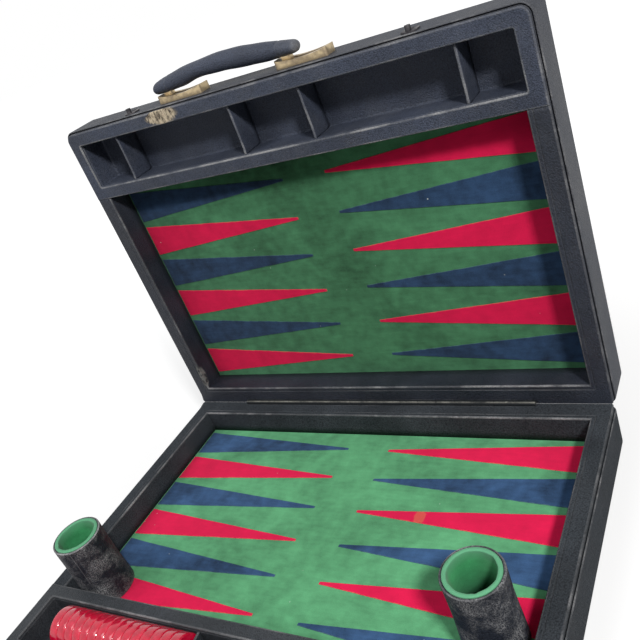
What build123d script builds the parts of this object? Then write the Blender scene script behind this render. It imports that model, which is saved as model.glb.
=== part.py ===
from build123d import *
from math import cos, pi, sin
import os

# A backgammon board that folds up into its own carrying case, in millimetres.
# It stands as it is played from: the lower half flat on the table and the lid upright behind it.
# +Z is up, the hinge runs along X, and the origin is under the middle of the whole object.
# Both halves are alike, so each is drawn in its own frame: x along the hinge, y away from the hinge
# towards the trays, and z out of the open mouth. A depth is measured down from the rim plane.

# Case
CASE_WIDTH = 465.0
CASE_LENGTH = 336.5          # hinge axis to the outer face of the tray end
CASE_DEPTH = 41.5            # rim plane to the outer face of the base, one half
HINGE_FACE = 2.9             # hinge axis to the outer face of the hinge wall
SIDE_WALL = 14.3
TRAY_SIDE_WALL = 12.5        # the side walls are thinner beside the tray
END_WALL = 10.0
HINGE_WALL_END = 14.7        # hinge axis to the inner face of the hinge wall
BASE_THICKNESS = 2.8
RIM_DROP = 0.9               # the wall tops stop this far short of the rim plane
OUTER_LIP = 2.0              # width of the lower step round the outside of the wall tops
OUTER_LIP_DROP = 3.05        # rim plane to the top of that step
GROOVE_WIDTH = 1.0           # seam between the step and the higher inner part
GROOVE_DEPTH = 5.5           # rim plane to the bottom of the seam
TRAY_CORNER = 10.0
HINGE_CORNER = 4.0
BASE_EDGE = 4.5
RIM_EDGE = 0.7

# Lining frame, playing field and its support
LINER_WALL = 4.4
FIELD_DEPTH = 26.5
FIELD_BOARD = 3.0
BATTEN_WIDTH = 14.0
BATTEN_SPACING = 98.0
BATTEN_COUNT = 5

# Playing points, six on each side of each half
POINTS_A_SIDE = 6
POINT_PITCH = 39.8
FIRST_POINT = 41.3           # hinge axis to the middle of the first point
POINT_BASE = 33.7
POINT_TIP = 2.6
TIP_TO_MIDDLE = 22.6
SUEDE = 0.5

# Tray module
TRAY_START = 264.5
TRAY_OPENING_START = 277.0
TRAY_OPENING_END = 321.5
TRAY_OPENING_HALF = 217.5
TRAY_LIP = 2.0               # thickness of the rim plate that covers the wall tops
TRAY_TOP = 0.4               # the rim plate stops this far short of the rim plane
TRAY_BED = 30.0              # rim plane to the bed of the tray
PLATE_GAP = 0.3              # the rim plate stops this far short of the seam
DIVIDER = 2.5
DIVIDER_DROP = 3.0
LOWER_DIVIDERS = (-42.0, 42.0)
LID_DIVIDERS = (-170.5, -33.0, 40.2, 173.9)

# Long hinge, shorter than the case is wide
HINGE_LENGTH = 328.0
KNUCKLES = 17
KNUCKLE_GAP = 0.3
BARREL_RADIUS = 2.6
PIN_RADIUS = 1.2
PIN_CLEARANCE = 0.06
LEAF_THICKNESS = 1.2
LEAF_WIDTH = 22.0
LEAF_NOTCH = 3.2
SCREWS_A_LEAF = 3
SCREW_PITCH = 134.0
SCREW_DEPTH = 13.0           # down from the rim plane
SCREW_RADIUS = 1.5
SCREW_HEAD = 2.7
SCREW_LENGTH = 8.0

# Carrying handle on the outer tray end of the lid: its two feet run in slotted brass tracks
HANDLE_MIDDLE = -17.5        # middle between the two tracks
TRACK_SPACING = 130.0
TRACK_DEPTH = 18.6           # middle of the tracks, down from the rim plane
TRACK_LENGTH = 50.0
TRACK_WIDTH = 16.0
TRACK_END_HEIGHT = 7.0
TRACK_WAIST_HEIGHT = 4.6
TRACK_SHEET = 1.0
TRACK_FLOOR = 0.8
TRACK_CORNER = 2.6
TRACK_SLOT = 6.4
TRACK_RIVET_SPACING = 32.0
HANDLE_TRAVEL = 30.0         # the handle lies at the left end of it
GRIP_HALF_LENGTH = 78.0
GRIP_MIDDLE_HEIGHT = 18.8
GRIP_END_HEIGHT = 13.8
GRIP_MIDDLE_RADIUS = 8.2
GRIP_END_RADIUS = 6.4
GRIP_END_ROUND = 4.0
FOOT_LENGTH = 8.0
FOOT_WIDTH = 12.6
FOOT_THICKNESS = 1.4
FOOT_CLEARANCE = 0.3

# Latches, one towards each end of the outer tray end
LATCH_OFFSET = 143.0
LATCH_PLATE_WIDTH = 30.0
LATCH_PLATE_TOP = 5.0
LATCH_PLATE_END = 36.0
LATCH_PLATE_THICKNESS = 1.4
LATCH_PLATE_CORNER = 3.0
LATCH_RIVETS = (29.0, 23.4)   # their depth and spacing
LATCH_AXIS_DEPTH = 9.5
LATCH_AXIS_OUT = 3.6         # axis to the face of the case
LATCH_PIN_RADIUS = 0.9
LATCH_PIN_CLEARANCE = 0.06
LATCH_EYE_RADIUS = 2.0
LATCH_EYE_LENGTH = 5.0
LATCH_EYE_GAP = 0.4
HASP_WIDTH = 18.0
HASP_LENGTH = 24.0
HASP_THICKNESS = 1.3
HASP_HOLE_AT = 17.0          # from the axis to the middle of the hole for the stud
HASP_HOLE_RADIUS = 2.9
HASP_BEAD_RADIUS = 1.4
HASP_BEAD_OUT = -0.3
STRIKE_WIDTH = 13.0
STRIKE_START = 4.2
STRIKE_END = 17.6
STRIKE_THICKNESS = 1.2
STRIKE_RIVET_DEPTH = 14.2
STRIKE_STUD_RADIUS = 2.3
STRIKE_STUD_HEIGHT = 5.4
RIVET_SHANK = 2.0            # the shanks are square
RIVET_HEAD = 2.0
RIVET_HEAD_HEIGHT = 0.6
RIVET_LENGTH = 6.0

# Loose pieces
CHECKER_RADIUS = 18.9
CHECKER_THICKNESS = 9.4
CHECKERS_A_SIDE = 15
CHECKER_GAP = 0.04
CHECKER_SIDE_GAP = 0.3
CUP_HEIGHT = 69.5
CUP_FOOT_RADIUS = 23.4
CUP_WAIST_RADIUS = 22.3
CUP_MOUTH_RADIUS = 22.5
CUP_BORE = 17.5
CUP_LEATHER = 2.4
CUP_BASE = 3.0
CUP_BASE_INSET = 0.8
CUP_LINING_FLOOR = 2.0
CUP_LIP = 0.9                # how far the lining stands above the leather
CUP_LIP_EDGE = 1.0
LEFT_CUP = (-190.0, 240.0)   # across the board, and from the hinge axis
RIGHT_CUP = (179.8, 222.4)

# Places that follow from the sizes above
LATCH_REACH = LATCH_AXIS_OUT + LATCH_EYE_RADIUS
HINGE_Y = (CASE_LENGTH + LATCH_REACH - CASE_DEPTH) / 2
HINGE_Z = CASE_DEPTH
LOWER = Plane(origin=(0, HINGE_Y, HINGE_Z), x_dir=(-1, 0, 0), z_dir=(0, 0, 1))
LID = Plane(origin=(0, HINGE_Y, HINGE_Z), x_dir=(1, 0, 0), z_dir=(0, -1, 0))
INNER_HALF = CASE_WIDTH / 2 - SIDE_WALL
TRAY_HALF = CASE_WIDTH / 2 - TRAY_SIDE_WALL
INNER_END = CASE_LENGTH - END_WALL
FRAME_HALF = CASE_WIDTH / 2 - OUTER_LIP
FRAME_END = CASE_LENGTH - OUTER_LIP
BASE_TOP = CASE_DEPTH - BASE_THICKNESS
FIELD_HALF = INNER_HALF - LINER_WALL - 1.0
TRAY_MIDDLE = (TRAY_OPENING_START + TRAY_OPENING_END) / 2
LEAF_OUTER = HINGE_FACE - LEAF_THICKNESS
PLATE_LENGTH = LATCH_PLATE_END - LATCH_PLATE_TOP
PLATE_DEPTH = (LATCH_PLATE_END + LATCH_PLATE_TOP) / 2
STRIKE_DEPTH = (STRIKE_END + STRIKE_START) / 2
STUD_DEPTH = HASP_HOLE_AT - LATCH_AXIS_DEPTH

os.makedirs("parts", exist_ok=True)


def keep(piece, name):
    """Labels a finished piece and writes its own file."""
    piece.part.label = name
    export_step(piece.part, f"parts/{name}.step")


def block(half, x_span, y_span, depths):
    """Adds a box of one half: its spans across and away from the hinge, and two depths."""
    spans = [sorted(span) for span in (x_span, y_span, (-depths[0], -depths[1]))]
    middle = [(low + high) / 2 for low, high in spans]
    with Locations(half.location * Pos(*middle)):
        return Box(*[high - low for low, high in spans])


def outline(width, start, end, corner, near_corner=0.0):
    """Draws a rectangle whose far corners are round, and its near ones too if asked."""
    with BuildSketch(mode=Mode.PRIVATE) as shape:
        with Locations((0, (start + end) / 2)):
            Rectangle(width, end - start)
        fillet(shape.vertices().group_by(Axis.Y)[-1], radius=corner)
        if near_corner:
            fillet(shape.vertices().group_by(Axis.Y)[0], radius=near_corner)
    add(shape.sketch)


def screw_places(half):
    """Gives the plane of a hinge leaf's outer face, with the screw line as its x axis."""
    origin = half.from_local_coords(Vector(0, LEAF_OUTER, -SCREW_DEPTH))
    return Plane(origin=origin, x_dir=half.x_dir, z_dir=-half.y_dir)


def wall_plane(half, across, depth):
    """Gives a plane on the outer tray end: z away from it, y away from the rim."""
    origin = half.from_local_coords(Vector(across, CASE_LENGTH, -depth))
    return Plane(origin=origin, x_dir=half.x_dir, z_dir=half.y_dir)


def rivet():
    """Adds a round-headed rivet standing on the current plane, its square shank going into it."""
    Box(RIVET_SHANK, RIVET_SHANK, RIVET_LENGTH, align=(Align.CENTER, Align.CENTER, Align.MAX))
    Cone(
        RIVET_HEAD,
        RIVET_HEAD - RIVET_HEAD_HEIGHT,
        RIVET_HEAD_HEIGHT,
        align=(Align.CENTER, Align.CENTER, Align.MIN),
    )


SIDES = (-1, 1)
TRACKS = [wall_plane(LID, HANDLE_MIDDLE + s * TRACK_SPACING / 2, TRACK_DEPTH) for s in SIDES]
LATCHES = [wall_plane(LOWER, s * LATCH_OFFSET, PLATE_DEPTH) for s in SIDES]
STRIKES = [wall_plane(LID, s * LATCH_OFFSET, STRIKE_DEPTH) for s in SIDES]

# Rivets: the planes that they stand on, the thickness that they go through, and their pattern
TRACK_RIVETS = (TRACKS, TRACK_FLOOR, (TRACK_RIVET_SPACING, 0, 2, 1))
PLATE_RIVETS = (
    [wall_plane(LOWER, s * LATCH_OFFSET, LATCH_RIVETS[0]) for s in SIDES],
    LATCH_PLATE_THICKNESS,
    (LATCH_RIVETS[1], 0, 2, 1),
)
STRIKE_RIVETS = (
    [wall_plane(LID, s * LATCH_OFFSET, STRIKE_RIVET_DEPTH) for s in SIDES],
    STRIKE_THICKNESS,
    (0, 0, 1, 1),
)


def rivet_holes(rivets):
    """Punches one group of rivets' holes through whatever is being made."""
    planes, _, pattern = rivets
    with Locations(planes):
        with GridLocations(*pattern):
            Box(RIVET_SHANK, RIVET_SHANK, 2 * RIVET_LENGTH, mode=Mode.SUBTRACT)


def rivet_group(rivets, name):
    """Makes one group of rivets, each through its plate and into the wood."""
    planes, thickness, pattern = rivets
    with BuildPart() as group:
        with Locations([plane.offset(thickness) for plane in planes]):
            with GridLocations(*pattern):
                rivet()
    keep(group, name)


def frame_outline(margin, mode=Mode.ADD):
    """Draws the inner part of the wall tops with a margin round it, running out past the hinge."""
    with BuildSketch(mode=Mode.PRIVATE) as shape:
        with Locations((0, (FRAME_END + margin) / 2)):
            Rectangle(2 * (FRAME_HALF + margin), FRAME_END + margin)
        fillet(shape.vertices().group_by(Axis.Y)[-1], radius=TRAY_CORNER - OUTER_LIP + margin)
    add(shape.sketch, mode=mode)


def case_shell(half, rivets, name):
    """Wooden carcass of one half, covered in leather, with the holes for its screws and rivets."""
    with BuildPart() as shell:
        with BuildSketch(half.offset(-CASE_DEPTH)):
            outline(CASE_WIDTH, HINGE_FACE, CASE_LENGTH, TRAY_CORNER, HINGE_CORNER)
        extrude(amount=CASE_DEPTH - OUTER_LIP_DROP)
        out = Axis(half.origin, half.z_dir)
        fillet(shell.faces().sort_by(out)[0].edges(), radius=BASE_EDGE)
        chamfer(shell.faces().sort_by(out)[-1].edges(), length=RIM_EDGE)
        with BuildSketch(half.offset(-GROOVE_DEPTH)):
            frame_outline(GROOVE_WIDTH)
            frame_outline(0, Mode.SUBTRACT)
        extrude(amount=GROOVE_DEPTH, mode=Mode.SUBTRACT)
        with BuildSketch(half.offset(-OUTER_LIP_DROP)):
            outline(2 * FRAME_HALF, HINGE_FACE, FRAME_END, TRAY_CORNER - OUTER_LIP, HINGE_CORNER)
        extrude(amount=OUTER_LIP_DROP - RIM_DROP)
        with BuildSketch(half.offset(-BASE_TOP)):
            with Locations((0, (HINGE_WALL_END + INNER_END) / 2)):
                Rectangle(2 * INNER_HALF, INNER_END - HINGE_WALL_END)
            with Locations((0, (TRAY_START + INNER_END) / 2)):
                Rectangle(2 * TRAY_HALF, INNER_END - TRAY_START)
        extrude(amount=BASE_TOP, mode=Mode.SUBTRACT)
        with BuildSketch(half.offset(-TRAY_TOP - TRAY_LIP)):
            with Locations((0, (TRAY_START + CASE_LENGTH + 5) / 2)):
                Rectangle(CASE_WIDTH + 10, CASE_LENGTH + 5 - TRAY_START)
        extrude(amount=CASE_DEPTH, mode=Mode.SUBTRACT)
        with Locations(screw_places(half)):
            with GridLocations(SCREW_PITCH, 0, SCREWS_A_LEAF, 1):
                Cylinder(SCREW_RADIUS, 2 * SCREW_LENGTH, mode=Mode.SUBTRACT)
        for group in rivets:
            rivet_holes(group)
    keep(shell, name)


def field_board(half, name):
    """Felt-covered board that the points lie on, let in under the lining frame."""
    with BuildPart() as board:
        block(
            half,
            (-INNER_HALF, INNER_HALF),
            (HINGE_WALL_END, TRAY_START),
            (FIELD_DEPTH, FIELD_DEPTH + FIELD_BOARD),
        )
    keep(board, name)


def battens(half, name):
    """Wooden strips that carry the field board above the base."""
    with BuildPart() as strips:
        with BuildSketch(half.offset(-BASE_TOP)):
            with Locations((0, (HINGE_WALL_END + TRAY_START) / 2)):
                with GridLocations(BATTEN_SPACING, 0, BATTEN_COUNT, 1):
                    Rectangle(BATTEN_WIDTH, TRAY_START - HINGE_WALL_END - 8)
        extrude(amount=BASE_TOP - FIELD_DEPTH - FIELD_BOARD)
    keep(strips, name)


def lining_frame(half, name):
    """Leather-covered frame round three sides of the field."""
    inner = INNER_HALF - LINER_WALL
    start = HINGE_WALL_END + LINER_WALL
    depths = (RIM_DROP, FIELD_DEPTH)
    with BuildPart() as liner:
        block(half, (-INNER_HALF, INNER_HALF), (HINGE_WALL_END, start), depths)
        for side in SIDES:
            block(half, (side * inner, side * INNER_HALF), (start, TRAY_START), depths)
    keep(liner, name)


def points(half, first, name):
    """Six suede points of one colour: every second point, starting at first on the +x side."""
    with BuildPart() as suede:
        with BuildSketch(half.offset(-FIELD_DEPTH)):
            for place in range(POINTS_A_SIDE):
                side = 1 if place % 2 == first else -1
                middle = FIRST_POINT + POINT_PITCH * place
                Polygon(
                    (side * FIELD_HALF, middle - POINT_BASE / 2),
                    (side * FIELD_HALF, middle + POINT_BASE / 2),
                    (side * TIP_TO_MIDDLE, middle + POINT_TIP / 2),
                    (side * TIP_TO_MIDDLE, middle - POINT_TIP / 2),
                    align=None,
                )
        extrude(amount=SUEDE)
    keep(suede, name)


def tray(half, name):
    """Box for the checkers, with a rim plate that covers the tops of the walls at this end."""
    with BuildPart() as box:
        block(
            half,
            (-TRAY_HALF, TRAY_HALF),
            (TRAY_START, INNER_END),
            (TRAY_TOP + TRAY_LIP, BASE_TOP),
        )
        out = Axis(half.origin, half.z_dir)
        with BuildSketch(half.offset(-TRAY_TOP - TRAY_LIP)):
            outline(
                2 * (FRAME_HALF - PLATE_GAP),
                TRAY_START,
                FRAME_END - PLATE_GAP,
                TRAY_CORNER - OUTER_LIP - PLATE_GAP,
            )
        extrude(amount=TRAY_LIP)
        chamfer(box.faces().sort_by(out)[-1].edges(), length=RIM_EDGE)
        with BuildSketch(half.offset(-TRAY_BED)):
            with Locations((0, TRAY_MIDDLE)):
                RectangleRounded(
                    2 * TRAY_OPENING_HALF, TRAY_OPENING_END - TRAY_OPENING_START, 1.5
                )
        extrude(amount=TRAY_BED, mode=Mode.SUBTRACT)
    keep(box, name)


def tray_dividers(half, places, name):
    """Thin leather-covered partitions across the tray, their tops a little below its rim."""
    with BuildPart() as walls:
        for place in places:
            block(
                half,
                (place - DIVIDER / 2, place + DIVIDER / 2),
                (TRAY_OPENING_START, TRAY_OPENING_END),
                (DIVIDER_DROP, TRAY_BED),
            )
    keep(walls, name)


def hinge_leaf(half, first, name):
    """One leaf of the long hinge: a strip on the outside of the hinge wall and every second knuckle."""
    pitch = HINGE_LENGTH / KNUCKLES
    mirror = half.x_dir.X
    with BuildPart() as leaf:
        block(
            half,
            (-HINGE_LENGTH / 2, HINGE_LENGTH / 2),
            (LEAF_OUTER, HINGE_FACE),
            (LEAF_NOTCH, LEAF_WIDTH),
        )
        section = Plane(origin=half.origin, x_dir=half.y_dir, z_dir=half.x_dir)
        for place in range(first, KNUCKLES, 2):
            start = -HINGE_LENGTH / 2 + pitch * place + KNUCKLE_GAP / 2
            if mirror < 0:
                start = -start - pitch + KNUCKLE_GAP
            with BuildSketch(section.offset(start)):
                Circle(BARREL_RADIUS)
                with Locations(((LEAF_OUTER + HINGE_FACE) / 2, -LEAF_NOTCH / 2)):
                    Rectangle(LEAF_THICKNESS, LEAF_NOTCH)
                Circle(PIN_RADIUS + PIN_CLEARANCE, mode=Mode.SUBTRACT)
            extrude(amount=pitch - KNUCKLE_GAP)
        with Locations(screw_places(half)):
            with GridLocations(SCREW_PITCH, 0, SCREWS_A_LEAF, 1):
                CounterSinkHole(SCREW_RADIUS, SCREW_HEAD, LEAF_THICKNESS, counter_sink_angle=90)
    keep(leaf, name)


def hinge_screws(half, name):
    """Countersunk screws through one hinge leaf into the wood of the hinge wall."""
    cone = SCREW_HEAD - SCREW_RADIUS
    with BuildPart() as screws:
        with Locations(screw_places(half)):
            with GridLocations(SCREW_PITCH, 0, SCREWS_A_LEAF, 1):
                Cylinder(SCREW_RADIUS, SCREW_LENGTH, align=(Align.CENTER, Align.CENTER, Align.MAX))
                Cone(SCREW_RADIUS, SCREW_HEAD, cone, align=(Align.CENTER, Align.CENTER, Align.MAX))
    keep(screws, name)


case_shell(LOWER, (PLATE_RIVETS,), "lower_shell")
case_shell(LID, (TRACK_RIVETS, STRIKE_RIVETS), "lid_shell")
for half, body in ((LOWER, "lower"), (LID, "lid")):
    field_board(half, f"{body}_field")
    battens(half, f"{body}_battens")
    lining_frame(half, f"{body}_liner")
    points(half, 1, f"{body}_red_points")
    points(half, 0, f"{body}_navy_points")
    tray(half, f"{body}_tray")
    hinge_screws(half, f"{body}_hinge_screws")
tray_dividers(LOWER, LOWER_DIVIDERS, "lower_tray_dividers")
tray_dividers(LID, LID_DIVIDERS, "lid_tray_dividers")
hinge_leaf(LOWER, 0, "lower_hinge_leaf")
hinge_leaf(LID, 1, "lid_hinge_leaf")


with BuildPart(Plane(origin=LID.origin, x_dir=(0, 1, 0), z_dir=(1, 0, 0))) as hinge_pin:
    Cylinder(PIN_RADIUS, HINGE_LENGTH - 1)
keep(hinge_pin, "hinge_pin")


HANDLE_WALL = wall_plane(LID, HANDLE_MIDDLE, TRACK_DEPTH)
HANDLE = wall_plane(LID, HANDLE_MIDDLE - HANDLE_TRAVEL / 2, TRACK_DEPTH)
TRACK_HALF = TRACK_LENGTH / 2


def track_profile(sheet):
    """Draws the side view of a track, hollowed towards its middle, less a sheet thickness."""
    half_length = TRACK_HALF - sheet
    floor = TRACK_FLOOR if sheet else 0
    ends = TRACK_END_HEIGHT - sheet
    with BuildSketch(mode=Mode.PRIVATE) as profile:
        with BuildLine():
            ThreePointArc((-half_length, ends), (0, TRACK_WAIST_HEIGHT - sheet), (half_length, ends))
            Polyline((half_length, ends), (half_length, floor), (-half_length, floor), (-half_length, ends))
        make_face()
    add(profile.sketch)


with BuildPart(HANDLE_WALL) as one_track:
    with BuildSketch(Plane(HANDLE_WALL.origin, HANDLE_WALL.x_dir, -HANDLE_WALL.y_dir)):
        track_profile(0)
    extrude(amount=TRACK_WIDTH / 2, both=True)
    fillet(one_track.edges().filter_by(Axis(HANDLE_WALL.origin, HANDLE_WALL.z_dir)), TRACK_CORNER)
    with BuildSketch(Plane(HANDLE_WALL.origin, HANDLE_WALL.x_dir, -HANDLE_WALL.y_dir)):
        track_profile(TRACK_SHEET)
    extrude(amount=TRACK_WIDTH / 2 - TRACK_SHEET, both=True, mode=Mode.SUBTRACT)
    with BuildSketch(HANDLE_WALL.offset(TRACK_FLOOR + 0.5)):
        RectangleRounded(HANDLE_TRAVEL + FOOT_LENGTH + 2 * FOOT_CLEARANCE, TRACK_SLOT, 0.6)
    extrude(amount=TRACK_END_HEIGHT, mode=Mode.SUBTRACT)
    with GridLocations(TRACK_RIVET_SPACING, 0, 2, 1):
        Box(RIVET_SHANK, RIVET_SHANK, 4 * TRACK_FLOOR, mode=Mode.SUBTRACT)
with BuildPart() as tracks:
    for side in (-1, 1):
        add(one_track.part.moved(Location(HANDLE_WALL.x_dir * side * TRACK_SPACING / 2)))
keep(tracks, "handle_tracks")

rivet_group(TRACK_RIVETS, "handle_track_rivets")

# Each foot is a tee: a plate that runs inside the track, and a neck through the slot into the grip.
foot_start = TRACK_FLOOR + RIVET_HEAD_HEIGHT + FOOT_CLEARANCE
with BuildPart() as feet:
    with Locations(HANDLE):
        with GridLocations(TRACK_SPACING, 0, 2, 1):
            with Locations((0, 0, foot_start)):
                Box(
                    FOOT_LENGTH,
                    FOOT_WIDTH,
                    FOOT_THICKNESS,
                    align=(Align.CENTER, Align.CENTER, Align.MIN),
                )
                Box(
                    FOOT_LENGTH,
                    TRACK_SLOT - 2 * FOOT_CLEARANCE,
                    GRIP_END_HEIGHT - foot_start,
                    align=(Align.CENTER, Align.CENTER, Align.MIN),
                )
keep(feet, "handle_feet")

with BuildPart() as grip:
    with BuildLine(Plane(HANDLE.origin, HANDLE.x_dir, -HANDLE.y_dir)) as grip_line:
        ThreePointArc(
            (-GRIP_HALF_LENGTH, GRIP_END_HEIGHT),
            (0, GRIP_MIDDLE_HEIGHT),
            (GRIP_HALF_LENGTH, GRIP_END_HEIGHT),
        )
    path = grip_line.edges()[0]
    for place, radius in ((0, GRIP_END_RADIUS), (0.5, GRIP_MIDDLE_RADIUS), (1, GRIP_END_RADIUS)):
        with BuildSketch(Plane(path @ place, x_dir=HANDLE.y_dir, z_dir=path % place)):
            Circle(radius)
    sweep(path=path, multisection=True)
    fillet(grip.faces().filter_by(GeomType.PLANE).edges(), radius=GRIP_END_ROUND)
    add(feet.part, mode=Mode.SUBTRACT)
keep(grip, "handle_grip")


def plate(middle, width, length, thickness, corner):
    """Adds a flat plate with cut-off corners to a plane, its length towards the rim."""
    with BuildSketch(mode=Mode.PRIVATE) as shape:
        Rectangle(width, length)
        chamfer(shape.vertices(), length=corner)
    extrude(middle.location * shape.sketch, amount=thickness)


eye_offset = (HASP_WIDTH + LATCH_EYE_LENGTH) / 2 + LATCH_EYE_GAP
axis_offset = LATCH_AXIS_DEPTH - PLATE_DEPTH
with BuildPart() as latch_plates:
    for middle in LATCHES:
        plate(middle, LATCH_PLATE_WIDTH, PLATE_LENGTH, LATCH_PLATE_THICKNESS, LATCH_PLATE_CORNER)
        for side in SIDES:
            with Locations(middle.location * Pos(side * eye_offset, axis_offset, 0)):
                Box(
                    LATCH_EYE_LENGTH,
                    2 * LATCH_EYE_RADIUS,
                    LATCH_AXIS_OUT,
                    align=(Align.CENTER, Align.CENTER, Align.MIN),
                )
                with Locations(Location((0, 0, LATCH_AXIS_OUT), (0, 90, 0))):
                    Cylinder(LATCH_EYE_RADIUS, LATCH_EYE_LENGTH)
                    Cylinder(LATCH_PIN_RADIUS, LATCH_EYE_LENGTH + 1, mode=Mode.SUBTRACT)
    rivet_holes(PLATE_RIVETS)
keep(latch_plates, "latch_plates")
rivet_group(PLATE_RIVETS, "latch_rivets")

# A hasp hangs from its pin: y runs down it and z away from the case.
HASPS = [Plane(plane.location * Pos(0, axis_offset, LATCH_AXIS_OUT)) for plane in LATCHES]
with BuildPart() as latch_pins:
    with Locations(HASPS):
        with Locations(Location((0, 0, 0), (0, 90, 0))):
            Cylinder(LATCH_PIN_RADIUS, HASP_WIDTH + 2 * LATCH_EYE_LENGTH + 2 * LATCH_EYE_GAP)
keep(latch_pins, "latch_pins")
for place, name in zip(HASPS, ("right_hasp", "left_hasp")):
    with BuildPart() as hasp:
        with Locations(place):
            with Locations((0, HASP_LENGTH / 2, 0)):
                Box(HASP_WIDTH, HASP_LENGTH, HASP_THICKNESS)
            fillet(hasp.edges().filter_by(Axis(place.origin, place.z_dir)).group_by(
                Axis(place.origin, place.y_dir))[-1], radius=4.0)
            with Locations(Location((0, 0, 0), (0, 90, 0))):
                Cylinder(LATCH_EYE_RADIUS, HASP_WIDTH)
                Cylinder(LATCH_PIN_RADIUS + LATCH_PIN_CLEARANCE, HASP_WIDTH + 1, mode=Mode.SUBTRACT)
            with Locations(Location((0, HASP_LENGTH - HASP_BEAD_RADIUS, HASP_BEAD_OUT), (0, 90, 0))):
                Cylinder(HASP_BEAD_RADIUS, HASP_WIDTH - 8)
            with Locations((0, HASP_HOLE_AT, 0)):
                Cylinder(HASP_HOLE_RADIUS, 4 * HASP_THICKNESS, mode=Mode.SUBTRACT)
    keep(hasp, name)

with BuildPart() as strikes:
    for middle in STRIKES:
        plate(middle, STRIKE_WIDTH, STRIKE_END - STRIKE_START, STRIKE_THICKNESS, LATCH_PLATE_CORNER)
        with Locations(middle.location * Pos(0, STUD_DEPTH - STRIKE_DEPTH, 0)):
            Cylinder(
                STRIKE_STUD_RADIUS, STRIKE_STUD_HEIGHT, align=(Align.CENTER, Align.CENTER, Align.MIN)
            )
    rivet_holes(STRIKE_RIVETS)
keep(strikes, "latch_strikes")
rivet_group(STRIKE_RIVETS, "strike_rivets")

# Checkers stand on edge beside the middle compartment, against the tray's hinge side.
stack_start = LOWER_DIVIDERS[1] + DIVIDER / 2 + 0.6
stack_line = TRAY_OPENING_START + CHECKER_RADIUS + CHECKER_SIDE_GAP
for side, name in ((1, "red_checkers"), (-1, "ivory_checkers")):
    with BuildPart() as checkers:
        for place in range(CHECKERS_A_SIDE):
            along = stack_start + (place + 0.5) * (CHECKER_THICKNESS + CHECKER_GAP)
            at = Location((side * along, stack_line, CHECKER_RADIUS - TRAY_BED), (0, 90, 0))
            with Locations(LOWER.location * at):
                Cylinder(CHECKER_RADIUS, CHECKER_THICKNESS)
    keep(checkers, name)

# Dice cups stand on the playing field of the lower half.
for (across, away), name in ((LEFT_CUP, "left_cup"), (RIGHT_CUP, "right_cup")):
    foot = Plane(LOWER.from_local_coords(Vector(-across, away, SUEDE - FIELD_DEPTH)))
    with BuildPart(foot) as body:
        with BuildSketch(Plane(foot.origin, x_dir=(1, 0, 0), z_dir=(0, -1, 0))):
            with BuildLine():
                wall = ThreePointArc(
                    (CUP_FOOT_RADIUS, 0),
                    (CUP_WAIST_RADIUS, 0.62 * CUP_HEIGHT),
                    (CUP_MOUTH_RADIUS, CUP_HEIGHT - CUP_LIP),
                )
                Polyline(
                    wall @ 1,
                    (CUP_MOUTH_RADIUS - CUP_LEATHER, CUP_HEIGHT - CUP_LIP),
                    (CUP_MOUTH_RADIUS - CUP_LEATHER, 0),
                    wall @ 0,
                )
            make_face()
        revolve(axis=Axis(foot.origin, (0, 0, 1)))
    keep(body, f"{name}_body")
    lining_radius = CUP_MOUTH_RADIUS - CUP_LEATHER
    with BuildPart(foot) as base:
        with Locations((0, 0, CUP_BASE_INSET)):
            Cylinder(lining_radius, CUP_BASE, align=(Align.CENTER, Align.CENTER, Align.MIN))
    keep(base, f"{name}_base")
    bottom = CUP_BASE + CUP_BASE_INSET
    with BuildPart(foot) as lining:
        with BuildSketch(Plane(foot.origin, x_dir=(1, 0, 0), z_dir=(0, -1, 0))):
            Polygon(
                (0, bottom),
                (lining_radius, bottom),
                (lining_radius, CUP_HEIGHT - CUP_LIP_EDGE),
                (lining_radius - CUP_LIP_EDGE / 2, CUP_HEIGHT),
                (CUP_BORE + CUP_LIP_EDGE / 2, CUP_HEIGHT),
                (CUP_BORE, CUP_HEIGHT - CUP_LIP_EDGE),
                (CUP_BORE, bottom + CUP_LINING_FLOOR),
                (0, bottom + CUP_LINING_FLOOR),
                align=None,
            )
        revolve(axis=Axis(foot.origin, (0, 0, 1)))
    keep(lining, f"{name}_lining")
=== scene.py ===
"""Dresses a folding backgammon case for display: worn leather, felt, suede, brass and marbled checkers."""

import bpy
import numpy as np
from bpy.props import FloatProperty, FloatVectorProperty, IntProperty, PointerProperty
from mathutils import Matrix, Vector


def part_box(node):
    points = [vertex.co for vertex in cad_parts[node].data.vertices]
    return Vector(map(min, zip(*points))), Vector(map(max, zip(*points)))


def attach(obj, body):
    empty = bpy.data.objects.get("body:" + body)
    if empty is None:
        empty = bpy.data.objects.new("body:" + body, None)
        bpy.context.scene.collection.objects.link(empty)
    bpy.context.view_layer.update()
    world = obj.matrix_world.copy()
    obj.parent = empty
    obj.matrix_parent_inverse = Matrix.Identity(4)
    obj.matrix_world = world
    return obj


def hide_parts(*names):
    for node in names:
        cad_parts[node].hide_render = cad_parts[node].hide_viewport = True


bl_info = {
    "name": "Backgammon Case",
    "version": (1, 1, 0),
    "blender": (4, 5, 0),
    "location": "View3D > Sidebar > Backgammon Case",
    "description": "Dresses a folding backgammon case: leather, felt, suede, brass, cups and checkers",
    "category": "Object",
}

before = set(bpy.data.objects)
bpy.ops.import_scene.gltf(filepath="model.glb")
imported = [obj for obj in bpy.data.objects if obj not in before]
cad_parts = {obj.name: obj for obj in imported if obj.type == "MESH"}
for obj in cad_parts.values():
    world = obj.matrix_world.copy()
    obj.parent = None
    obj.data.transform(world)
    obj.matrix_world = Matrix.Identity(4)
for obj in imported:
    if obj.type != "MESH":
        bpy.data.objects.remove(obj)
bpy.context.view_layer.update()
MM = 0.001
BODIES = {"lower": "lower_half", "lid": "lid"}

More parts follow.
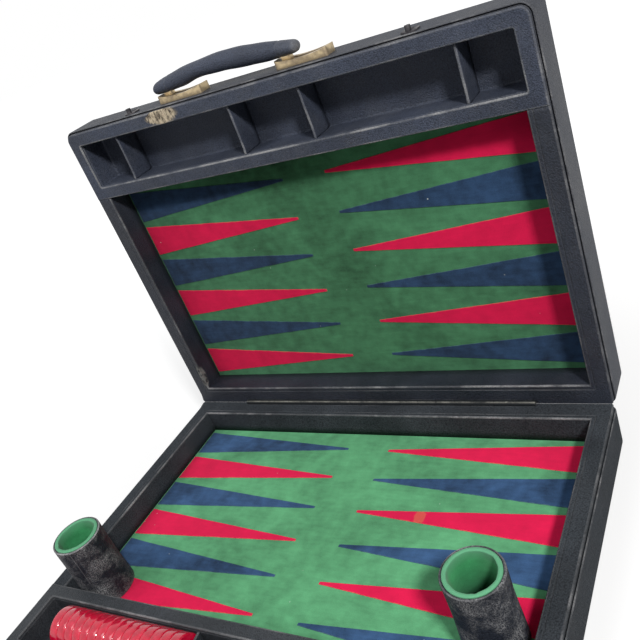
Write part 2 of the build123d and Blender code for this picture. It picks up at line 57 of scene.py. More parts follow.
# The case, in millimetres, as it is built. Both halves share one plan: across, away from the hinge
# and depth below the rim plane.
PIN_LOW, PIN_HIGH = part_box("hinge_pin")
HINGE_Y = (PIN_LOW.y + PIN_HIGH.y) / 2 / MM
HINGE_Z = (PIN_LOW.z + PIN_HIGH.z) / 2 / MM
# The outside of a half, and how far its hinge wall is set back.
HALF_WIDTH, LENGTH, DEPTH, HINGE_FACE = 232.5, 336.5, 41.5, 2.9
CORNER, HINGE_CORNER, BASE_EDGE = 10.0, 4.0, 4.5
# The top of its walls: the rim, and the narrow step outside it with a seam between them.
RIM_DROP, STEP_DROP, STEP_WIDTH, STEP_ROUND = 0.9, 3.05, 2.0, 0.8
SEAM_WIDTH, SEAM_DEPTH = 1.0, 5.5
# The mouth, the top of the base, and the frame that lines three sides of the field.
INNER_HALF, INNER_START, INNER_END, TRAY_HALF = 218.2, 14.7, 326.5, 220.0
INNER_CORNER, FRAME_CORNER, FRAME_EDGE = 2.0, 0.6, 0.6
BASE_TOP, LINER_WALL = 38.7, 4.4
# The hinge and its barrels; beside it the rim is hardly rounded.
HINGE_HALF, KNUCKLES, BARREL, BARREL_EDGE, BARREL_GAP = 164.0, 17, 3.0, 0.35, 0.03
HINGE_SIDE, BESIDE_HINGE = 0.2, 2.0
# Past its ends the walls come up to its axis, within NOTCH, and fade back over END_FADE.
NOTCH = (HINGE_HALF + 0.4, HINGE_HALF + 0.9)
END_FACE, END_DROP, END_FADE, END_SHARE = 0.02, 0.02, 8.0, 0.9
# The tray: its rim plate, its opening with a lining that stands out a little, and its dividers.
TRAY_START, TRAY_TOP, TRAY_LIP, TRAY_BED = 264.5, 0.4, 2.0, 30.0
TRAY_SETBACK, PLATE_INSET, PLATE_EDGE = 0.15, 2.3, 1.0
OPENING_HALF, OPENING_START, OPENING_END, OPENING_EDGE = 217.5, 277.0, 321.5, 1.1
LINING_OUT, BED_ROUND = 0.35, 2.2
DIVIDER, DIVIDER_DROP, DIVIDER_BOW, DIVIDER_SCOOP = 2.5, 3.0, 0.25, 0.9
DIVIDERS = {"lower": (-42.0, 42.0), "lid": (-170.5, -33.0, 40.2, 173.9)}
# The field and its suede points.
FIELD_DEPTH, SUEDE, FIELD_HALF = 26.5, 0.5, 212.8
FIRST_POINT, POINT_PITCH, POINT_BASE, POINT_TIP, TIP_TO_MIDDLE = 41.3, 39.8, 33.7, 2.6, 22.6
POINT_EDGE, POINT_WAVER = 0.3, 0.12
# Each cup: across, away from the hinge, where its seam is in degrees, and the height of its lap.
CUPS = {"left_cup": (-190.0, 240.0, -62.0, 0.85), "right_cup": (179.8, 222.4, -12.0, 0.5)}
CUP_RIM, CUP_FOOT, CUP_OUTER, CUP_LINING, CUP_BORE = 68.6, 23.4, 22.5, 20.1, 17.5
CUP_WAIST, CUP_SKIN, STITCH_OFF, STITCH_HALF, STITCH_GIRTH = 0.66, 21.6, 0.16, 1.1, 0.28
CHECKERS = {"red_checkers": -1, "ivory_checkers": 1}
CHECKER_RADIUS, CHECKER_THICKNESS, CHECKER_PITCH, CHECKER_COUNT = 18.9, 9.4, 9.44, 15
CHECKER_CUT, CHECKER_SWELL = 1.25, 0.03
STACK_START, STACK_AWAY = 43.85, 296.2
# The grip: heights of its top and underside above the lid, at places along it.
GRIP_REACH, GRIP_HALF_WIDTH, GRIP_SWELL = 78.0, 7.6, 1.2
GRIP_ALONG = (-78, -70, -42.5, -29.5, -18.5, 3.5, 26.5, 47.5, 64.5, 78)
GRIP_TOP = (17.0, 19.4, 24.1, 25.1, 25.8, 26.9, 25.6, 22.8, 20.0, 17.2)
GRIP_UNDER = (7.5, 7.35, 8.3, 11.2, 11.6, 10.6, 8.6, 7.4, 7.35, 8.2)
GRIP_SEAM, GRIP_DIP = 0.78, 0.5


def stacked(*columns):
    """Points from coordinates that broadcast together."""
    return np.stack(np.broadcast_arrays(*columns), -1)


def place(half, plan):
    """Turns one half's (across, away, depth) in millimetres into metres in the frame."""
    across, away, depth = np.moveaxis(plan, -1, 0)
    if half == "lower":
        return stacked(across, HINGE_Y - away, HINGE_Z - depth) * MM
    return stacked(across, HINGE_Y + depth, HINGE_Z + away) * MM


def closed_surface(rings):
    """Vertices and faces of an array of rings (stack, ring, 3), closed at both ends by a pole.

    Face (i, j) joins rings i and i + 1 between points j and j + 1. A pole is the middle of its
    ring. If the sum of a . (b x c) over the triangles is negative, the faces are turned round.
    """
    stack, ring, _ = rings.shape
    points = np.concatenate([rings.reshape(-1, 3), rings[:1].mean(1), rings[-1:].mean(1)])
    j = np.arange(ring)
    nxt = (j + 1) % ring
    start = np.arange(stack - 1)[:, None] * ring
    quads = stacked(start + j, start + nxt, start + ring + nxt, start + ring + j).reshape(-1, 4)
    poles, last = stack * ring, (stack - 1) * ring
    fans = np.concatenate([stacked(nxt, j, poles), stacked(last + j, last + nxt, poles + 1)])
    triangles = np.concatenate([quads[:, [0, 1, 2]], quads[:, [0, 2, 3]], fans])
    a, b, c = (points[triangles[:, k]] for k in range(3))
    if (a * np.cross(b, c)).sum() < 0:
        quads, fans = quads[:, ::-1], fans[:, ::-1]
    return points, quads, fans


def build(name, parts, edge):
    """Makes one object from ring stacks in metres.

    edge is None, or says for every part how near an edge its ring points are.
    """
    vertices, faces, edges = [], [], []
    for k, rings in enumerate(parts):
        points, quads, fans = closed_surface(rings)
        for polygons in (quads, fans):
            faces += (polygons + len(vertices)).tolist()
        vertices += points.tolist()
        if edge is not None:
            e = np.broadcast_to(edge[k], rings.shape[:2])
            edges.append(np.concatenate([e.reshape(-1), [e[0].mean(), e[-1].mean()]]))
    mesh = bpy.data.meshes.new(name)
    mesh.from_pydata(vertices, [], faces)
    mesh.shade_smooth()
    if edge is not None:
        layer = mesh.attributes.new("edge", "FLOAT", "POINT")
        layer.data.foreach_set("value", np.concatenate(edges).astype(np.float32))
    mesh.validate()
    made = bpy.data.objects.new(name, mesh)
    bpy.context.scene.collection.objects.link(made)
    return made


def piece(name, parts, edge, body, slot, finish, *nodes):
    """Builds a piece with its finish and its body, and hides the nodes it replaces. Its slot argument is
    not used.
    """
    made = build(name, parts, edge)
    made.data.materials.append(MATERIALS[finish])
    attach(made, body)
    if nodes:
        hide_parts(*nodes)
    return made


def arc(start, end, count):
    """Cosines and sines of evenly spaced angles from start to end, in degrees."""
    a = np.radians(np.linspace(start, end, count))
    return np.cos(a), np.sin(a)


def bell(value, centre, width):
    """A bell curve, exp(-((value - centre) / width) ** 2)."""
    return np.exp(-(((value - centre) / width) ** 2))


def opposite(angle, start):
    """How far an angle is past the one opposite to start, from -pi to pi."""
    return np.mod(angle - start, 2 * np.pi) - np.pi


def full_turn(count):
    """Evenly spaced angles of one turn, in radians."""
    return np.linspace(0, 2 * np.pi, count, endpoint=False)


def divided(start, end, count, breaks):
    """Values spaced evenly from start to end, and the breaks too where they all lie between."""
    run = np.sort(np.concatenate([np.linspace(start, end, count), breaks]))
    within = all(start < value < end for value in breaks)
    return run if within else np.linspace(start, end, len(run))


def outline(half_width, near, far, near_round, far_round, breaks=(), near_breaks=()):
    """Plan outline of a rectangle with quarter-circle corners, as an array (points, 2).

    It runs along the near side, up the right, back along the far side and down the left. breaks
    are more places on the right and left, and near_breaks on both halves of the near side.
    """
    near_round, far_round = max(near_round, 0.05), max(far_round, 0.05)
    near_reach, far_reach = half_width - near_round, half_width - far_round
    start, end = near + near_round, far - far_round
    run = divided(-near_reach, near_reach, 61, [*near_breaks, *(-x for x in near_breaks)])
    right = stacked(half_width, divided(start, end, 60, breaks))
    sides = stacked(run, near), right, stacked(np.linspace(1, -1, 61) * far_reach, far)
    bends = (-90, near_reach, start, near_round), (0, far_reach, end, far_round)
    bends += (90, -far_reach, end, far_round), (180, -near_reach, start, near_round)
    loop = []
    for side, (turn, x, y, r) in zip((*sides, right[::-1] * (-1, 1)), bends):
        c, s = arc(turn + 10, turn + 80, 8)
        loop += [side, stacked(x + r * c, y + r * s)]
    return np.concatenate(loop)


def at_depth(plan, depth):
    """Adds a depth, or one for each point, to a plan outline."""
    return stacked(plan[:, 0], plan[:, 1], depth)


def rounded(radius, count=5):
    """Insets, radius * (1 - cos a), and drops, radius * (1 - sin a), of a quarter-round edge."""
    c, s = arc(0, 90, count)
    return list(zip(radius * (1 - c), radius * (1 - s)))


def turned(profile, centre, axis="Z", count=96, bulge=None):
    """Rings of a turned shape: (radius, height) pairs carried round a centre.

    A point at an angle a lies at radius * (cos a, sin a) across the axis. bulge, if given, gives
    what to add to the radius.
    """
    angle = full_turn(count)
    profile = np.array(profile, float)
    radius = profile[:, :1] + (0 if bulge is None else bulge(angle, profile))
    across, up = radius * np.cos(angle), radius * np.sin(angle)
    order = (across, up, profile[:, 1:]) if axis == "Z" else (profile[:, 1:], across, up)
    return (stacked(*order) + centre) * MM


def connect(tree, node, inputs):
    """Fills a node's sockets, by name or number, with values or with other nodes' outputs."""
    for key, value in inputs.items():
        if isinstance(value, bpy.types.NodeSocket):
            tree.links.new(value, node.inputs[key])
        else:
            node.inputs[key].default_value = value


def add(tree, kind, inputs=None, **settings):
    """Adds a shader node with the given settings and inputs."""
    made = tree.nodes.new(f"ShaderNode{kind}")
    for key, value in settings.items():
        setattr(made, key, value)
    connect(tree, made, inputs or {})
    return made


def object_space(tree):
    """Adds the Object coordinates."""
    return add(tree, "TexCoord").outputs["Object"]


def edge_value(tree):
    """Adds the attribute that says how near an edge a point is."""
    return add(tree, "Attribute", attribute_name="edge").outputs["Fac"]


def ramp(tree, factor, start, end, first=0.0, last=1.0):
    """Adds a ramp from one grey at start to another at end."""
    made = add(tree, "ValToRGB", {"Fac": factor})
    for step, where, grey in zip(made.color_ramp.elements, (start, end), (first, last)):
        step.position, step.color = where, (grey, grey, grey, 1)
    return made.outputs["Color"]


def math(tree, operation, *values, clamp=False):
    """Adds a Math node and gives its output."""
    inputs = dict(enumerate(values))
    return add(tree, "Math", inputs, operation=operation, use_clamp=clamp).outputs[0]


def times(tree, a, b, clamp=False):
    """Adds a product, clamped to 0 to 1 if asked."""
    return math(tree, "MULTIPLY", a, b, clamp=clamp)


def scaled(tree, value, share, more, clamp=False):
    """Adds value * share + more, clamped to 0 to 1 if asked."""
    return math(tree, "MULTIPLY_ADD", value, share, more, clamp=clamp)


def mix(tree, factor, a, b, blend="MIX"):
    """Adds a mix of two colours, each of them an output or a colour."""
    inputs = {0: factor}
    for key, value in ((6, a), (7, b)):
        inputs[key] = value if isinstance(value, bpy.types.NodeSocket) else (*value[:3], 1)
    return add(tree, "Mix", inputs, data_type="RGBA", blend_type=blend).outputs[2]


def grey(tree, value):
    """Adds a grey colour of a value."""
    return add(tree, "CombineColor", {k: value for k in range(3)}).outputs[0]


def noise(tree, vector, scale, detail=3.0, **inputs):
    """Adds a Noise texture and gives its value."""
    values = {"Vector": vector, "Scale": scale, "Detail": detail, **inputs}
    return add(tree, "TexNoise", values).outputs["Fac"]


def clouds(tree, vector, scale, detail, start, end, **inputs):
    """Adds noise with a ramp that cuts it into clouds."""
    return ramp(tree, noise(tree, vector, scale, detail, **inputs), start, end)


def stretched(tree, vector, scale):
    """Adds coordinates scaled by a different share on each axis."""
    return add(tree, "Mapping", {"Vector": vector, "Scale": scale}).outputs[0]


def bump(tree, shader, height, distance, strength=1.0):
    """Bumps a shader's normal with a height."""
    made = add(tree, "Bump", {"Height": height, "Distance": distance, "Strength": strength})
    connect(tree, shader, {"Normal": made.outputs["Normal"]})


def start_group(name, inputs):
    """Starts a node group; gives its tree, the sockets of its inputs and its Object coordinates."""
    tree = bpy.data.node_groups.new(name, "ShaderNodeTree")
    for label, value in inputs.items():
        kind = "NodeSocketVector" if isinstance(value, tuple) else "NodeSocketFloat"
        tree.interface.new_socket(label, in_out="INPUT", socket_type=kind).default_value = value
    return tree, tree.nodes.new("NodeGroupInput").outputs, object_space(tree)


def end_group(tree, outputs):
    """Ends a node group with these values as its outputs."""
    for label in outputs:
        tree.interface.new_socket(label, in_out="OUTPUT", socket_type="NodeSocketFloat")
    connect(tree, tree.nodes.new("NodeGroupOutput"), outputs)
    return tree


def leather_grain():
    """Leather: pebbled grain with fine pores over it, soft creases, patches that are duller, and a painted
    highlight that lightens the crests of the pebbles.
    """
    tree, given, spot = start_group("Leather grain", {"Grain size": 900.0, "Crease": 0.3})
    cells = {"Vector": spot, "Scale": given["Grain size"], "Randomness": 0.9}
    pebbles = add(tree, "TexVoronoi", cells, feature="SMOOTH_F1").outputs["Distance"]
    pores = scaled(tree, noise(tree, spot, 2400.0, 2.0), 0.25, times(tree, pebbles, -0.9))
    crease = times(tree, noise(tree, spot, 60.0), given["Crease"])
    made = {
        "Height": math(tree, "ADD", pores, crease),
        "Patches": clouds(tree, spot, 16.0, 6.0, 0.38, 0.66),
        "Pores": clouds(tree, spot, 1100.0, 1.0, 0.35, 0.75),
        # Painted highlight: the crests of the pebbles come out lighter, as where light catches them.
        "Crest highlights": scaled(tree, pebbles, -1.3, 1.5),
    }
    return end_group(tree, made)


def edge_wear_and_highlight():
    """Wear along arrises, partly painted highlight: a thin steady line that stands for both wear and the
    highlight along arrises, and stretches where the dye is worn right off.
    """
    tree, given, spot = start_group("Edge wear and highlight", {"Edge": 0.0, "Amount": 0.5, "Breakup": 26.0})
    stretches = clouds(tree, spot, given["Breakup"], 5.0, 0.47, 0.64, Roughness=0.6)
    strength = times(tree, scaled(tree, stretches, 0.85, 0.22), given["Amount"])
    # The steady line along arrises is partly wear and partly a painted highlight.
    line = times(tree, math(tree, "POWER", given["Edge"], 2.5), strength)
    grainy = scaled(tree, noise(tree, spot, 850.0), 1.6, 0.1)
    return end_group(tree, {"Mask": times(tree, line, grainy, clamp=True)})


def torn_patch():
    """A torn place: inside an uneven oval the leather is gone and the fibres under it show."""
    inputs = {"Centre": (0, 0, 0), "Reach": (0.01, 0.01, 0.01)}
    tree, given, spot = start_group("Torn patch", inputs)
    away = spot
    for operation, other in (("SUBTRACT", "Centre"), ("DIVIDE", "Reach")):
        step = add(tree, "VectorMath", {0: away, 1: given[other]}, operation=operation)
        away = step.outputs["Vector"]
    reach = add(tree, "VectorMath", {0: away}, operation="LENGTH").outputs["Value"]
    inside = math(tree, "SUBTRACT", 1.0, reach)
    ragged = scaled(tree, noise(tree, spot, 120.0, 7.0, Roughness=0.75), 1.9, -0.95)
    mask = times(tree, math(tree, "ADD", inside, ragged), 5.0, clamp=True)
    drawn = stretched(tree, spot, (420, 150, 150))
    made = {
        "Mask": times(tree, times(tree, inside, 4.0, clamp=True), mask),
        "Fibres": clouds(tree, drawn, 1.0, 6.0, 0.38, 0.56, Roughness=0.7),
    }
    return end_group(tree, made)


def nap():
    """Brushed pile: broad clouds of light and dark nap, smaller mottling, streaks and a fine fuzz."""
    tree, given, spot = start_group("Brushed nap", {"Contrast": 0.3})
    fuzz = noise(tree, spot, 1500.0)
    mixed = times(tree, noise(tree, spot, 90.0, 4.0), 0.9)
    mixed = scaled(tree, noise(tree, spot, 15.0, 5.0, Distortion=0.5), 1.5, mixed)
    mixed = scaled(tree, noise(tree, stretched(tree, spot, (60, 320, 320)), 1.0), 0.45, mixed)
    mixed = scaled(tree, fuzz, 0.5, mixed)
    half_of_all = (0.9 + 1.5 + 0.45 + 0.5) / 2
    off = math(tree, "SUBTRACT", mixed, half_of_all)
    specks = add(tree, "TexVoronoi", {"Vector": spot, "Scale": 62.0}).outputs["Distance"]
    some = clouds(tree, spot, 12.0, 3.0, 0.52, 0.6)
    made = {
        "Shade": scaled(tree, off, given["Contrast"], 1.0),
        "Height": fuzz,
        "Lint": times(tree, ramp(tree, specks, 0.03, 0.05, 1, 0), some),
    }
    return end_group(tree, made)


GROUPS, MATERIALS = {}, {}
LINT, LIP = (0.6, 0.64, 0.6), (0.125, 0.38, 0.21)
# Painted light: lighter copies of the case leather for the lower half, which faces up to the lamps.
LIT_LOWER_CASE, LIT_LOWER_TRAY = (0.031, 0.0355, 0.041), (0.026, 0.03, 0.035)


def effect(tree, name, inputs):
    """Places one of the shared node groups in a material and gives its outputs."""
    return add(tree, "Group", inputs, node_tree=GROUPS[name]).outputs


def shade(colour, share):
    """A colour made lighter or darker by a share."""
    return tuple(min(1, share * c) for c in colour[:3])


def start_material(name):
    """A fresh material; gives it with its tree and its principled shader."""
    made = bpy.data.materials.new(name)
    made.use_nodes = True
    return made, made.node_tree, made.node_tree.nodes["Principled BSDF"]


def leather(
    name, colour, worn, wear=0.8, grain=900.0, crease=0.3, rough=0.5, scuffs=0.0, torn=(), gloss=0.2
):
    """Dyed leather: grain with painted highlights on its crests, duller patches, worn arrises with a
    painted highlight line, and scuffs and torn places if asked.

    A torn place is a centre, a reach, and the dark and light of its fibres.
    """
    made, tree, shader = start_material(name)
    skin = effect(tree, "grain", {"Grain size": grain, "Crease": crease})
    rubbed_and_lit = effect(tree, "wear", {"Edge": edge_value(tree), "Amount": wear})["Mask"]
    if scuffs:
        places = clouds(tree, object_space(tree), 48.0, 7.0, 0.44, 0.66, Roughness=0.65)
        scratched = times(tree, places, skin["Pores"])
        rubbed_and_lit = scaled(tree, scratched, scuffs, rubbed_and_lit, clamp=True)
    body = mix(tree, skin["Patches"], colour, shade(colour, 1.55))
    # The painted highlight on the grain's crests is multiplied into the colour.
    body = mix(tree, 1.0, body, grey(tree, skin["Crest highlights"]), "MULTIPLY")
    # The worn colour on arrises is partly worn dye and partly a painted highlight line.
    shown, height = mix(tree, rubbed_and_lit, body, worn), skin["Height"]
    for centre, reach, dark, light in torn:
        patch = effect(tree, "torn", {"Centre": centre, "Reach": reach})
        shown = mix(tree, patch["Mask"], shown, mix(tree, patch["Fibres"], dark, light))
        rubbed_and_lit = math(tree, "MAXIMUM", rubbed_and_lit, patch["Mask"])
        height = math(tree, "SUBTRACT", height, patch["Mask"])
    dull = scaled(tree, rubbed_and_lit, 0.25, scaled(tree, skin["Patches"], 0.1, rough))
    connect(tree, shader, {"Base Color": shown, "Roughness": dull, "Specular IOR Level": gloss})
    bump(tree, shader, height, 0.0007, 0.8)
    return made


def cloth(
    name, colour, rim=None, contrast=0.75, lint=0.6, sheen=0.1, broken=1.2, faded=None, deep=None
):
    """Felt or suede: brushed nap, lint and, if asked, a rim, a faded spot and a deep end darkened as
    painted shade.

    The edge attribute is 1 at the rim and -1 at the deep end, which the painted shade darkens. broken
    breaks the rim up, and faded is a centre, a reach and a colour.
    """
    made, tree, shader = start_material(name)
    pile = effect(tree, "nap", {"Contrast": contrast})
    shown = mix(tree, 1.0, colour, grey(tree, pile["Shade"]), "MULTIPLY")
    if rim is not None:
        near = edge_value(tree)
        if broken:
            near = effect(tree, "wear", {"Edge": near, "Amount": broken, "Breakup": 90.0})["Mask"]
        shown = mix(tree, near, shown, rim)
    # Painted shade: where the edge attribute falls below 0 the colour goes to the dark one.
    if deep is not None:
        shown = mix(tree, times(tree, near, -1.0, clamp=True), shown, deep)
    if faded is not None:
        patch = effect(tree, "torn", {"Centre": faded[0], "Reach": faded[1]})
        shown = mix(tree, times(tree, patch["Mask"], 0.3), shown, faded[2])
    shown = mix(tree, times(tree, pile["Lint"], lint), shown, LINT)
    dull = {"Roughness": 0.95, "Specular IOR Level": 0.1, "Sheen Roughness": 0.5}
    connect(tree, shader, {"Base Color": shown, "Sheen Weight": sheen, **dull})
    bump(tree, shader, pile["Height"], 0.0005, 0.45)
    return made


def metal(name, colour, tarnish, rough=0.3, amount=0.75):
    """Bare metal with tarnish in patches and a brushed, slightly uneven surface."""
    made, tree, shader = start_material(name)
    cloud = noise(tree, object_space(tree), 150.0, 6.0)
    dull = ramp(tree, cloud, 0.4, 0.62)
    shown = mix(tree, times(tree, dull, amount), colour, tarnish)
    dull = scaled(tree, dull, 0.25, rough)
    connect(tree, shader, {"Base Color": shown, "Roughness": dull, "Metallic": 1.0})
    bump(tree, shader, cloud, 0.0004, 0.4)
    return made


def worn_and_highlit_paint(name, colour, bare):
    """Black paint over steel, worn through to the metal in scattered glints, and lightened along the crest
    of the barrels as a painted highlight line.
    """
    made, tree, shader = start_material(name)
    spot, near = object_space(tree), edge_value(tree)
    cloud = noise(tree, spot, 55.0, 8.0, Roughness=0.7)
    # Painted highlight: a line of the bare colour along the barrels' crest, where the edge attribute is
    # high.
    crest_highlight = times(tree, near, ramp(tree, cloud, 0.35, 0.65, 0.04, 0.4))
    glint = times(tree, clouds(tree, spot, 34.0, 2.0, 0.61, 0.63), near)
    through = math(tree, "MAXIMUM", crest_highlight, glint)
    bare_metal = {"Base Color": mix(tree, through, colour, bare), "Metallic": times(tree, through, 0.4)}
    connect(tree, shader, {"Roughness": 0.55, "Specular IOR Level": 0.12, **bare_metal})
    bump(tree, shader, cloud, 0.0002, 0.3)
    return made


def marbled(name, base, vein, dark):
    """Polished cast plastic, swirled with a lighter vein and a darker cloud."""
    made, tree, shader = start_material(name)
    spot = object_space(tree)
    veins = clouds(tree, spot, 150.0, 4.0, 0.5, 0.66, Distortion=2.0)
    shadows = clouds(tree, spot, 210.0, 3.0, 0.42, 0.62)
    shown = mix(tree, times(tree, veins, 0.24), base, vein)
    shown = mix(tree, times(tree, shadows, 0.3), shown, dark)
    polish = {"Roughness": 0.16, "Specular IOR Level": 0.2, "Coat Weight": 0.8, "Coat Roughness": 0.04}
    connect(tree, shader, {"Base Color": shown, **polish})
    return made


def raw_wood(name, light, dark):
    """Unfinished softwood: rings stretched along the grain."""
    made, tree, shader = start_material(name)
    grain = noise(tree, stretched(tree, object_space(tree), (90, 8, 8)), 3.0, 8.0)
    connect(tree, shader, {"Base Color": mix(tree, grain, light, dark), "Roughness": 0.7})
    bump(tree, shader, grain, 0.0003, 0.4)
    return made


def paint(finish, *nodes):
    """Gives nodes of the frame a finish."""
    for node in nodes:
        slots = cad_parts[node].data.materials
        slots.clear()
        slots.append(MATERIALS[finish])


def colour_property(label, about, value):
    """A colour that a user would change."""
    return FloatVectorProperty(name=label, description=about, subtype="COLOR", default=value, min=0, max=1)


def size_property(label, about, subtype, value, low, high):
    """A length or a power that a user would change."""
    return FloatProperty(name=label, description=about, subtype=subtype, default=value, min=low, max=high)


class CaseColours(bpy.types.PropertyGroup):
    """Colours of the case, as they look in plain light."""

    leather: colour_property("Leather", "Dye of the case's leather", (0.0155, 0.0185, 0.027))
    # This colour is also what paints the highlight line along arrises.
    worn: colour_property("Worn leather", "Leather where the dye has rubbed off", (0.27, 0.27, 0.275))
    felt: colour_property("Felt", "Playing field", (0.103, 0.345, 0.165))
    red: colour_property("Red suede", "Red points", (0.74, 0.01, 0.075))
    navy: colour_property("Navy suede", "Navy points", (0.033, 0.078, 0.17))
    lining: colour_property("Cup lining", "Felt inside the dice cups", (0.055, 0.34, 0.13))
    brass: colour_property("Brass", "Handle tracks and latches", (0.53, 0.42, 0.255))


class CaseSizes(bpy.types.PropertyGroup):
    """Sizes and strengths of the details that are not in the frame."""

    rim_round: size_property(
        "Rim rounding", "Radius of the leather on top of a wall", "DISTANCE", 0.0011, 0.0003, 0.003
    )
    stitches: IntProperty(
        name="Cup stitches", description="Stitches up the seam of a cup", default=18, min=0, max=60
    )
    key_light: size_property("Key light", "Power of the lamp at the right", "POWER", 36.0, 0, 200)
    top_light: size_property("Top light", "Power of the lamp overhead", "POWER", 15.0, 0, 200)


class CASE_OT_finishes(bpy.types.Operator):
    """Mixes every finish and paints the parts of the frame that keep their own shape."""

    bl_idname = "backgammon.finishes"
    bl_label = "Finishes"

    def execute(self, context):
        colours = context.scene.case_colours
        hide, rubbed_and_lit, felt = colours.leather, colours.worn, colours.felt
        # pale: the leather made about twice as light, for the handle and for the lid's tray, where it is
        # painted light in the recess.
        pale = shade(hide, 2.1)
        GROUPS.update(grain=leather_grain(), wear=edge_wear_and_highlight(), torn=torn_patch(), nap=nap())
        torn_at = place("lid", np.array([-103.0, 329.0, 0.4]))
        torn = (torn_at, (0.021, 0.007, 0.0085), (0.045, 0.036, 0.03), (0.55, 0.46, 0.33))
        cracked_at = place("lid", np.array([-215.0, 36.0, 0.9]))
        cracked = (cracked_at, (0.004, 0.008, 0.017), (0.013, 0.013, 0.016), (0.17, 0.17, 0.165))
        faded_at = place("lower", np.array([85.0, 120.8, FIELD_DEPTH - SUEDE]))
        faded = (faded_at, (0.006, 0.011, 0.008), (0.6, 0.27, 0.08))
        MATERIALS.update(
            # Painted light and shade: the halves get lit and shaded copies of one leather, the lower
            # lighter and the lid's carcass darker.
            lower_case=leather(
                "Lower carcass leather, painted lit", LIT_LOWER_CASE, rubbed_and_lit, rough=0.65, scuffs=0.06, gloss=0.04
            ),
            lid_case=leather(
                "Lid carcass leather, painted shade", shade(hide, 0.92), rubbed_and_lit, scuffs=0.06, torn=(cracked,), gloss=0.28
            ),
            # The lower tray is a lighter copy as painted light; the lid's tray in its recess gets the pale
            # copy, also painted light.
            lower_tray=leather("Faded tray leather", LIT_LOWER_TRAY, rubbed_and_lit, 0.9, 1000, scuffs=0.1),
            lid_tray=leather("Tray leather", pale, rubbed_and_lit, 0.9, 1000, scuffs=0.14, torn=(torn,)),
            handle=leather("Handle leather", pale, rubbed_and_lit, 0.5, 1200, rough=0.4),
            cup=leather("Cup leather", shade(hide, 0.68), shade(rubbed_and_lit, 1.3), 0.9, 800, 0.8, scuffs=0.9),
            lower_felt=cloth("Lower green felt", felt),
            # Painted shade: the lid's felt is a darker copy of the lower half's, as the upright lid gets
            # less light.
            lid_felt=cloth("Lid green felt, painted shade", shade(felt, 0.48), contrast=1.0),
            lower_red=cloth("Lower red suede with a faded spot", colours.red, (0.66, 0.13, 0.09), 0.3, faded=faded),
            # Painted shade: the lid's red suede and its rims are darker copies of the lower half's.
            lid_red=cloth("Red suede", shade(colours.red, 0.85), (0.5, 0.12, 0.07), 0.35, sheen=0.05),
            lower_navy=cloth("Lower navy suede", colours.navy, (0.08, 0.17, 0.17), 1.3, lint=0.9),
            # Painted shade: the lid's navy suede and its rims are darker copies of the lower half's.
            lid_navy=cloth("Navy suede", shade(colours.navy, 0.55), (0.05, 0.12, 0.11), 1.5, lint=0.9),
            # The lining's dark colour is painted shade inside the bottom of the cups.
            lining=cloth("Cup felt", colours.lining, LIP, lint=0.1, broken=0, deep=(0.008, 0.03, 0.02)),
            brass=metal("Brass", colours.brass, (0.24, 0.19, 0.14)),
            blackened=metal("Blackened brass", (0.09, 0.085, 0.09), (0.02, 0.02, 0.024), 0.45),
            steel=metal("Steel", (0.55, 0.55, 0.54), (0.2, 0.19, 0.18)),
            # The hinge paint carries a painted highlight line along the crest of its barrels.
            hinge=worn_and_highlit_paint("Black paint, worn and highlit", (0.012, 0.014, 0.016), (0.62, 0.6, 0.52)),
            red_marbled=marbled("Red marbled", (0.6, 0.003, 0.034), (0.8, 0.06, 0.14), (0.22, 0, 0.014)),
            ivory_marbled=marbled("Ivory marbled", (0.8, 0.73, 0.58), (0.9, 0.87, 0.8), (0.6, 0.5, 0.34)),
            wood=raw_wood("Bare wood", (0.6, 0.42, 0.24), (0.36, 0.22, 0.11)),
        )
        for half in BODIES:
            paint(f"{half}_felt", f"{half}_field")
            paint("wood", f"{half}_battens")
            paint("hinge", f"{half}_hinge_leaf")
            paint("steel", f"{half}_hinge_screws")
        paint("steel", "hinge_pin", "latch_pins")
        paint("brass", "handle_tracks", "handle_track_rivets", "handle_feet")
        paint("brass", "latch_plates", "latch_rivets", "left_hasp", "right_hasp")
        paint("blackened", "latch_strikes", "strike_rivets")
        paint("cup", "left_cup_base", "right_cup_base")
        return {"FINISHED"}


class RingStack:
    """Collects the loops of a piece, from its outside in, with how worn each one is."""

    def __init__(self):
        self.loops, self.edges = [], []

    def ring(self, plan, depth, wear):
        """Adds one loop: a plan outline at a depth."""
        self.loops.append(at_depth(plan, depth))
        self.edges.append(np.full(len(plan), float(wear)))

    def between(self, target, shares):
        """Adds loops on straight lines from the last loop to a target, at (share, wear) pairs."""
        last = self.loops[-1]
        for share, wear in shares:
            self.loops.append(last + share * (target - last))
            self.edges.append(np.full(len(last), float(wear)))

    def parts(self, half):
        """The loops of a half as the one part of a piece, and its edge values."""
        return [place(half, np.array(self.loops))], [np.array(self.edges)]


# Just before and just past the start of the tray.
BREAKS = (TRAY_START - 0.05, TRAY_START + 0.05)


def beyond_hinge(plan):
    """1 for the points of the hinge wall past the ends of the hinge, fading out behind them."""
    past = np.clip((np.abs(plan[:, 0]) - NOTCH[0]) / (NOTCH[1] - NOTCH[0]), 0, 1)
    return past * np.clip(1 - (plan[:, 1] - HINGE_FACE) / END_FADE, 0, 1)


def shell_plan(inset, side_only=0.0):
    """Plan of the outside drawn in by inset, and by side_only more except at the hinge wall."""
    whole = inset + side_only
    corners = max(HINGE_CORNER - whole, 0.4), max(CORNER - whole, 1.5)
    made = outline(HALF_WIDTH - whole, HINGE_FACE + inset, LENGTH - whole, *corners, BREAKS, NOTCH)
    made[:, 1] -= (HINGE_FACE - END_FACE) * beyond_hinge(made)
    return made


